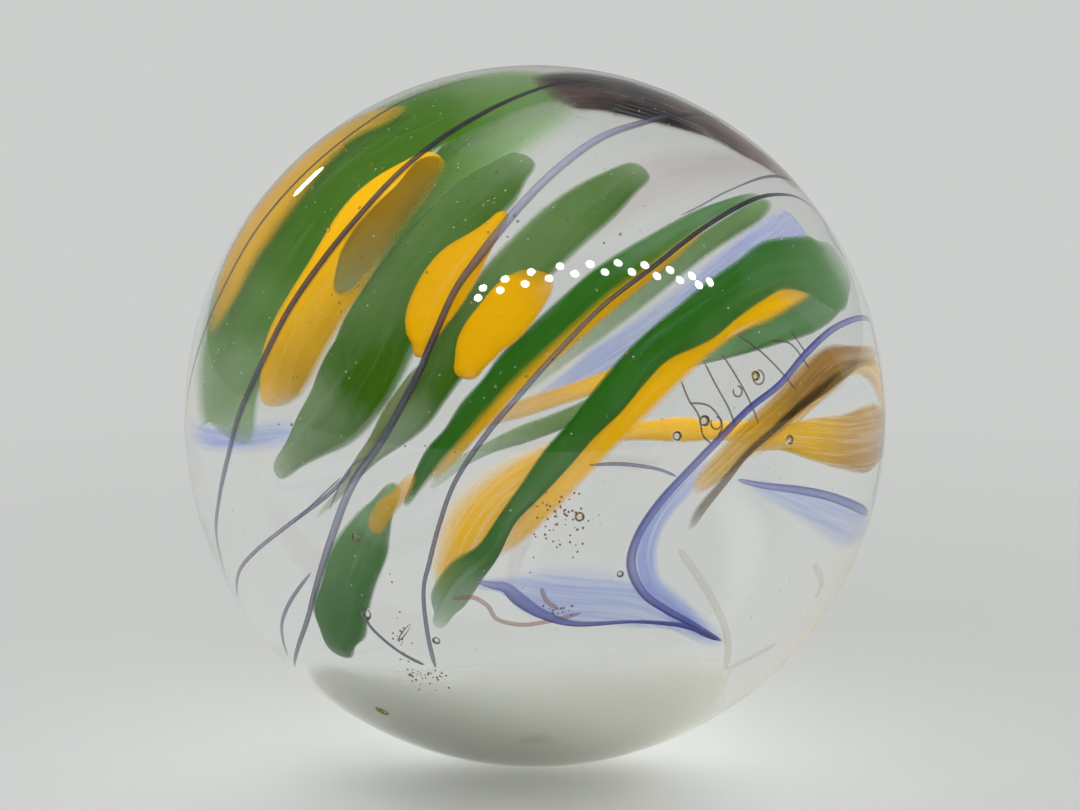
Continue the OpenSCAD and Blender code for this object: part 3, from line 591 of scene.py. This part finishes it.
def build_ball():
    """The skin of clear glass, with its pit, and the bubbles as hollows in it."""
    bm = bmesh.new()
    bmesh.ops.create_icosphere(bm, subdivisions=7, radius=BALL_R * MM)
    pit = Vector(place(*PIT))
    reach = math.sqrt(PIT_D * PIT_DEPTH) / BALL_R
    near = [e for e in bm.edges if (e.verts[0].co.normalized() - pit).length < reach * PIT_ROOM]
    bmesh.ops.subdivide_edges(bm, edges=near, cuts=3, use_grid_fill=True)
    for v in bm.verts:
        out = v.co.normalized()
        away = (out - pit).length / reach
        v.co = out * (BALL_R - PIT_DEPTH * max(0.0, 1 - away * away)) * MM
    for lon, lat, size in BUBBLES:
        add_bubble(bm, lon, lat, layer_r(1), Matrix.Diagonal([BUBBLE_D / 2 * size / 10 * MM] * 3).to_4x4())
    lon, lat, radius, stretch, lean = LONG_BUBBLE
    drawn = Matrix.Diagonal((radius * MM, radius * MM, radius * stretch * MM)).to_4x4()
    add_bubble(bm, lon, lat, layer_r(1), Matrix.Rotation(math.radians(lean), 4, "Y") @ drawn)
    rng = random.Random(4)
    count, lon0, lon1, lat0, lat1, small, large = SEEDS
    for _ in range(count):
        size = rng.uniform(small, large) * MM
        add_bubble(bm, rng.uniform(lon0, lon1), rng.uniform(lat0, lat1),
                   layer_r(0) + rng.uniform(-SEED_DEPTH, SEED_DEPTH), Matrix.Diagonal([size] * 3).to_4x4())
    mesh = bpy.data.meshes.new("ball_skin")
    bm.to_mesh(mesh)
    bm.free()
    return put("ball_skin", mesh, clear_glass(), "clear_glass")


def build_bands(name, slot, material, replaced, *groups):
    """One piece from groups of (bands, full width, thickness)."""
    shape = Shape()
    for paths, full_w, t in groups:
        for seed, (layer, stations, *edges) in enumerate(paths):
            shape.band(stations, layer_r(layer), full_w, t, *edges, seed=seed)
    return shape.build(name, material, replaced)


def build_threads(name, material, replaced, lines, r, full_w, t, full_cover=1.0, lean=0):
    """One piece from threads on the layer of radius r."""
    shape = Shape()
    for points in lines:
        shape.thread(points, r, full_w, t, full_cover, lean)
    return shape.build(name, material, replaced)


def plain(lines):
    """Threads of full width, from lists of directions."""
    return [[(lon, lat, 10, LINE_PALE) for lon, lat in line] for line in lines]


def build_hairs(material):
    """The fine hairs: short strokes, and curls that don't quite close."""
    shape = Shape()
    r = layer_r(0)
    for points in plain(HAIRS):
        shape.thread(points, r, HAIR_D, HAIR_D, HAIR_COVER)
    for lon, lat, size in CURLS:
        wide, high = math.degrees(size / r) / math.cos(math.radians(lat)), math.degrees(size / r)
        loop = [(lon + wide * math.sin(t / 10), lat + high * math.cos(t / 10)) for t in range(0, 60, 6)]
        shape.thread(plain([loop])[0], r, HAIR_D, HAIR_D, HAIR_COVER, steps=3)
    return shape.build("fine_hairs", material)


def build_grains(material):
    """Brown grains in the glass."""
    shape = Shape()
    rng = random.Random(7)
    for lon, lat, wide, high, count in GRAIN_PATCHES:
        for _ in range(count):
            way = place(lon + rng.gauss(0, wide / 2), lat + rng.gauss(0, high / 2))
            at = way * (layer_r(1) + rng.uniform(-GRAIN_DEPTH, GRAIN_DEPTH))
            shape.ball(at, GRAIN_D / 2 * rng.uniform(*GRAIN_SIZES))
    return shape.build("brown_grains", material)


def build_specks(material):
    """Pale specks scattered under the skin."""
    shape = Shape()
    rng = random.Random(11)
    count, lon0, lon1, lat0, lat1, small, large = SPECKS
    for _ in range(count):
        way = place(rng.uniform(lon0, lon1), rng.uniform(lat0, lat1))
        at = way * (layer_r(1) + rng.uniform(0, SPECK_DEPTH))
        shape.ball(at, rng.uniform(small, large))
    return shape.build("milky_specks", material)


def build_gob(material):
    """The opaque white gob, a lens of glass low in the ball, darker towards its bottom by painted shade."""
    shape = Shape()
    up, middle = place(GOB_MIDDLE[0], GOB_MIDDLE[1] + 90), place(*GOB_MIDDLE)
    right = np.cross(up, middle)
    r = BALL_R - WHITE_COVER - WHITE_T / 2
    n = len(GOB_SPREAD)
    shade_z, slope, depth = GOB_PAINTED_SHADE

    def ring(share, lift):
        half_t = GOB_RIM_T + (WHITE_T / 2 - GOB_RIM_T) * math.sqrt(max(0, 1 - share * share))
        made = []
        for k in range(GOB_SECTORS, 0, -1):
            u = n * k / GOB_SECTORS
            i = int(u)
            turn = math.radians(share * cubic(*(GOB_SPREAD[(i + j) % n] for j in (-1, 0, 1, 2)), u - i))
            b = 2 * math.pi * k / GOB_SECTORS
            fade = GOB_FADES[0] + (GOB_FADES[1] - GOB_FADES[0]) * max(0, math.cos(b))
            out = middle * math.cos(turn) + (up * math.cos(b) + right * math.sin(b)) * math.sin(turn)
            at = out * (r + lift * half_t)
            # Painted shade: the tint turns to the darker second colour towards the bottom of the gob.
            gob_painted_shade = ease((shade_z - at[2] - at[0] * slope) / depth)
            made.append(shape.point(at, ease((1 - share) / fade), gob_painted_shade))
        return made

    shares = [math.sin(math.pi / 2 * k / GOB_SHELLS) for k in range(1, GOB_SHELLS + 1)]
    top, foot = (shape.point(middle * (r + lift * WHITE_T / 2), 1, 0.9) for lift in (1, -1))
    shape.close(top, [ring(s, 1) for s in shares] + [ring(s, -1) for s in reversed(shares)], foot)
    return shape.build("white_gob", material, "white_base")


# Each glass: its two colours, clear, streaks, pitch and mottle
green = coloured_glass("green_glass", (0.23, 0.385, 0.09), (0.53, 0.63, 0.47), 0.0, 0.2, 0.35, 0.12)
deep = coloured_glass("deep_green_glass", (0.18, 0.40, 0.12), (0.50, 0.64, 0.48), 0.0, 0.25, 0.3, 0.12)
yellow = coloured_glass("yellow_glass", (0.92, 0.70, 0.06), (0.58, 0.47, 0.10), 0.0, 0.2, 0.4, 0.15)
flame = coloured_glass("flame_glass", (0.90, 0.69, 0.03), (0.80, 0.76, 0.60), 0.0, 1.0, 0.18, 0.3)
amber = coloured_glass("amber_glass", (0.80, 0.62, 0.04), (0.58, 0.44, 0.25), 0.05, 1.2, 0.14, 0.35)
olive = coloured_glass("olive_glass", (0.52, 0.41, 0.05), (0.46, 0.56, 0.43), 0.1, 0.2, 0.3, 0.15)
strip = coloured_glass("olive_strip_glass", (0.34, 0.41, 0.09), (0.52, 0.58, 0.40), 0.2, 0.3, 0.3, 0.15)
# This dark glass paints the refracted image of a dark base at the top of the ball, not smoke in the glass.
refraction_patch_glass = coloured_glass("smoke_glass", (0.12, 0.115, 0.115), (0.52, 0.43, 0.41), 0.05, 1.2, 0.2, 0.6)
core = coloured_glass("core_glass", (0.32, 0.26, 0.16), (0.52, 0.45, 0.28), 0.35, 0.4, 0.2, 0.2)
# The white glass's second colour is the gob's painted shade.
white = coloured_glass("white_glass", (0.86, 0.87, 0.84), (0.64, 0.65, 0.61), 0.0, 0.0, 1.0, 0.1,
                       cloud_scale=160.0)
veil = coloured_glass("veil_glass", (0.54, 0.62, 0.87), (0.70, 0.70, 0.80), 0.6, 1.6, 0.16, 0.3)
line = coloured_glass("line_glass", (0.27, 0.28, 0.63), (0.72, 0.76, 0.93), 0.35, 0.3, 0.3, 0.1)
violet = coloured_glass("violet_glass", (0.24, 0.20, 0.22), (0.62, 0.64, 0.82), 0.5, 0.2, 0.2, 0.1)
rose = coloured_glass("rose_glass", (0.86, 0.80, 0.81), (0.84, 0.80, 0.81), 0.9, 1.0, 0.4, 0.3)
haze = coloured_glass("haze_glass", (0.88, 0.89, 0.86), (0.84, 0.85, 0.81), 0.3, 0.3, 1.0, 0.3)
hair = coloured_glass("hair_glass", (0.40, 0.37, 0.35), (0.6, 0.58, 0.56), 0.4, 0.0, 1.0, 0.1)
rust = coloured_glass("rust_glass", (0.62, 0.44, 0.38), (0.74, 0.58, 0.52), 0.4, 0.3, 0.3, 0.2)
haze_edge = coloured_glass("edge_glass", (0.74, 0.72, 0.62), (0.8, 0.8, 0.74), 0.6, 0.3, 0.3, 0.2)

build_ball()
build_bands("green_glass_bands", "green_glass", green, "green_bands",
            (GREEN_SHEET, SHEET_W, BAND_T), (GREEN, GREEN_W, BAND_T))
build_bands("deep_green_bands", "green_glass", deep, "green_bands", (DEEP_GREEN, GREEN_W, BAND_T))
build_bands("yellow_glass_bands", "yellow_glass", yellow, "yellow_bands", (YELLOW, YELLOW_W, BAND_T))
build_bands("yellow_glass_flame", "yellow_glass", flame, "yellow_bands", (FLAME, YELLOW_W, BAND_T))
build_bands("amber_glass_hook", "amber_glass", amber, "amber_hook", (AMBER, AMBER_W, BAND_T))
build_bands("olive_glass_pool", "olive_glass", olive, "olive_bands", (OLIVE, OLIVE_W, BAND_T))
build_bands("olive_glass_strip", "olive_glass", strip, "olive_bands", (OLIVE_STRIP, OLIVE_W, BAND_T))
# A painted refraction of a dark base beneath the ball, not smoke.
build_bands("painted_refraction_patch", "smoke_glass", refraction_patch_glass, "smoke_streaks", (PAINTED_REFRACTION_PATCH, REFRACTION_PATCH_W, BAND_T))
build_bands("smoke_glass_core", "smoke_glass", core, "smoke_streaks", (CORE, CORE_W, BAND_T))
build_gob(white)

build_bands("blue_glass_veils", "blue_glass", veil, "blue_veils", (VEILS, VEIL_W, VEIL_T))
build_threads("blue_edge_lines", line, "blue_veils", BLUE_LINES, layer_r(0), LINE_W, THREAD_D,
              lean=LINE_LEAN)
build_threads("violet_glass_threads", violet, "violet_threads", THREADS + FINE_THREADS,
              layer_r(0), THREAD_D, THREAD_D)
build_bands("rose_glass_veils", "rose_glass", rose, "rose_veils", (ROSE, VEIL_W, VEIL_T))
build_bands("pale_glass_haze", "pale_glass", haze, "pale_haze", (HAZE, VEIL_W, VEIL_T))
# Painted highlight: a white streak of pale glass.
build_bands("painted_highlight_streak", "pale_glass", haze, None, (PAINTED_HIGHLIGHT_STREAKS, HIGHLIGHT_STREAK_W, HIGHLIGHT_STREAK_T))
build_specks(haze)
build_hairs(hair)
build_grains(rust)
build_threads("rust_threads", rust, None, plain(RED_LINES), layer_r(1), RED_D, RED_D,
              RED_COVER)
build_threads("haze_edges", haze_edge, None, plain(EDGE_LINES), layer_r(2), EDGE_D, EDGE_D,
              EDGE_COVER)

# ---------------------------------------------------------------- studio
FLOOR_R, FLOOR_SIDES = 3.0, 64  # the radius in metres
FLOOR_FADE = (0.03, 0.11)  # metres from its middle between which it turns into the backdrop
FLOOR_COLOUR = srgb(0.86, 0.87, 0.86)
BACKDROP = srgb(0.80, 0.81, 0.80)
floor_mesh = bpy.data.meshes.new("floor")
rim = [2 * math.pi * k / FLOOR_SIDES for k in range(FLOOR_SIDES)]
floor_rim = [(FLOOR_R * math.cos(a), FLOOR_R * math.sin(a), 0) for a in rim]
floor_mesh.from_pydata(floor_rim, [], [tuple(range(FLOOR_SIDES))])
floor = bpy.data.objects.new("floor", floor_mesh)
floor.location.z = -BALL_R * MM
bpy.context.scene.collection.objects.link(floor)

# The floor takes the ball's shadow near it, and turns into the plain backdrop further out.
floor_mat, tree = new_material("floor")
far = node(tree, "ShaderNodeVectorMath", operation="LENGTH")
tree.links.new(node(tree, "ShaderNodeTexCoord").outputs["Object"], far.inputs[0])
near_floor = node(tree, "ShaderNodeBsdfDiffuse", Color=FLOOR_COLOUR)
far_floor = node(tree, "ShaderNodeEmission", Color=BACKDROP)
finish_material(tree, mix_shader(tree, step(tree, far.outputs["Value"], *FLOOR_FADE), near_floor, far_floor))
floor_mesh.materials.append(floor_mat)

# The world: soft light from all round, a plain backdrop for the eye and through the glass, and in reflections
# a pale tent with a dark opening in front and a string of small lamps above it.
OPENING_LON = 22
OPENING_BACK, OPENING_UP, OPENING_DOWN = 0.14, 1.4, 1.3  # how far back it starts, and its slopes up and down
SOFT = 0.02  # half width of its soft edge
TENT, TENT_TOP, LAMP = 0.45, 0.15, 45  # strengths of the tent at its foot and top, and of a lamp
TENT_DIMS = (0.1, 0.6)  # heights between which the tent dims
LAMP_TURN, GLINT_TURN = 1.2, 1.3  # radii of the lamps' spots, in degrees
INSIDE_BOOST = 1.7  # more light for what lies in the glass, which keeps much of it out
LAMPS = [(-25, 46.9), (-24.1, 50.3), (-16.1, 50.3), (-14.9, 54.1), (-4.8, 52.9), (-2.1, 57), (7, 54.8),
         (13.7, 58.6), (20.5, 55.4), (30.2, 57.7), (35.7, 54.1), (44.7, 55.6), (48.4, 51.6), (56.6, 51.9),
         (58.2, 47.6), (65.8, 47.3), (66.6, 43.7), (72.9, 42.8), (72.8, 39.9), (78.2, 38.8)]
GLINT = [(-146, 25), (-145, 24), (-144, 23)]
world = bpy.data.worlds.new("studio")
world.use_nodes = True
bpy.context.scene.world = world
tree = world.node_tree
tree.nodes.clear()
way = node(tree, "ShaderNodeTexCoord").outputs["Generated"]
turned = node(tree, "ShaderNodeVectorRotate", rotation_type="Z_AXIS", Angle=math.radians(-OPENING_LON))
tree.links.new(way, turned.inputs["Vector"])
axes = node(tree, "ShaderNodeSeparateXYZ")
tree.links.new(turned.outputs[0], axes.inputs[0])
height = axes.outputs["Z"]
ahead = maths(tree, "SUBTRACT", OPENING_BACK, axes.outputs["Y"])
top_gap = maths(tree, "SUBTRACT", maths(tree, "MULTIPLY", ahead, OPENING_UP), height)
foot_gap = maths(tree, "ADD", maths(tree, "MULTIPLY", ahead, OPENING_DOWN), height)
below_top, above_foot, in_front = (step(tree, v, -SOFT, SOFT) for v in (top_gap, foot_gap, ahead))
opening = maths(tree, "MULTIPLY", maths(tree, "MULTIPLY", below_top, above_foot), in_front)


def spots_of_light(directions, radius):
    """1 in a small round spot at each direction, 0 elsewhere, with a soft edge."""
    total = 0.0
    low, high = math.cos(math.radians(radius * 1.15)), math.cos(math.radians(radius * 0.8))
    for lon, lat in directions:
        towards = node(tree, "ShaderNodeVectorMath", operation="DOT_PRODUCT")
        tree.links.new(way, towards.inputs[0])
        towards.inputs[1].default_value = place(lon, lat)
        total = maths(tree, "MAXIMUM", step(tree, towards.outputs["Value"], low, high), total)
    return total


dim_above = maths(tree, "MULTIPLY_ADD", step(tree, height, *TENT_DIMS), TENT_TOP - TENT, TENT)
mirror = maths(tree, "MULTIPLY", maths(tree, "SUBTRACT", 1.0, opening), dim_above)
for lights, radius in ((LAMPS, LAMP_TURN), (GLINT, GLINT_TURN)):
    mirror = maths(tree, "MULTIPLY_ADD", spots_of_light(lights, radius), LAMP, mirror)

path = node(tree, "ShaderNodeLightPath")
through = path.outputs["Is Transmission Ray"]
fresh = maths(tree, "LESS_THAN", path.outputs["Diffuse Depth"], 0.5)
seen = maths(tree, "MULTIPLY", maths(tree, "MAXIMUM", path.outputs["Is Camera Ray"], through), fresh)
glossy = maths(tree, "SUBTRACT", path.outputs["Is Glossy Ray"], through, clamp=True)
mirrored = maths(tree, "MULTIPLY", glossy, fresh)
light = node(tree, "ShaderNodeBackground")
tree.links.new(maths(tree, "MULTIPLY_ADD", through, INSIDE_BOOST, 1.0), light.inputs["Strength"])
back = node(tree, "ShaderNodeBackground", Color=BACKDROP)
tent = node(tree, "ShaderNodeBackground")
tree.links.new(mirror, tent.inputs["Strength"])
sky = mix_shader(tree, mirrored, mix_shader(tree, seen, light, back), tent)
tree.links.new(sky.outputs[0], node(tree, "ShaderNodeOutputWorld").inputs["Surface"])

# ---------------------------------------------------------------- camera
IMAGE_W = 1080
BALL_PX = 351  # radius of the ball's outline in the image
SHIFT_PX = (5, 11)  # from the ball's middle to the image's, right and up
FAR, TILT = 8.6, 11  # distance in ball radii, and degrees above the level
cam = bpy.data.cameras.new("camera")
cam.sensor_width = 36
cam.lens = BALL_PX * math.sqrt(FAR * FAR - 1) / IMAGE_W * cam.sensor_width
cam.shift_x, cam.shift_y = SHIFT_PX[0] / IMAGE_W, SHIFT_PX[1] / IMAGE_W
cam.clip_start = 0.005
camera = bpy.data.objects.new("camera", cam)
away, lift = math.cos(math.radians(TILT)), math.sin(math.radians(TILT))
camera.location = (0, -FAR * BALL_R * MM * away, FAR * BALL_R * MM * lift)
camera.rotation_euler = (math.radians(90 - TILT), 0, 0)
bpy.context.scene.collection.objects.link(camera)
bpy.context.scene.camera = camera

scene = bpy.context.scene
scene.view_settings.view_transform = "Standard"
scene.cycles.transparent_max_bounces = 64
scene.cycles.max_bounces = 24
scene.cycles.transmission_bounces = 24
scene.cycles.glossy_bounces = 8
scene.cycles.blur_glossy = 0
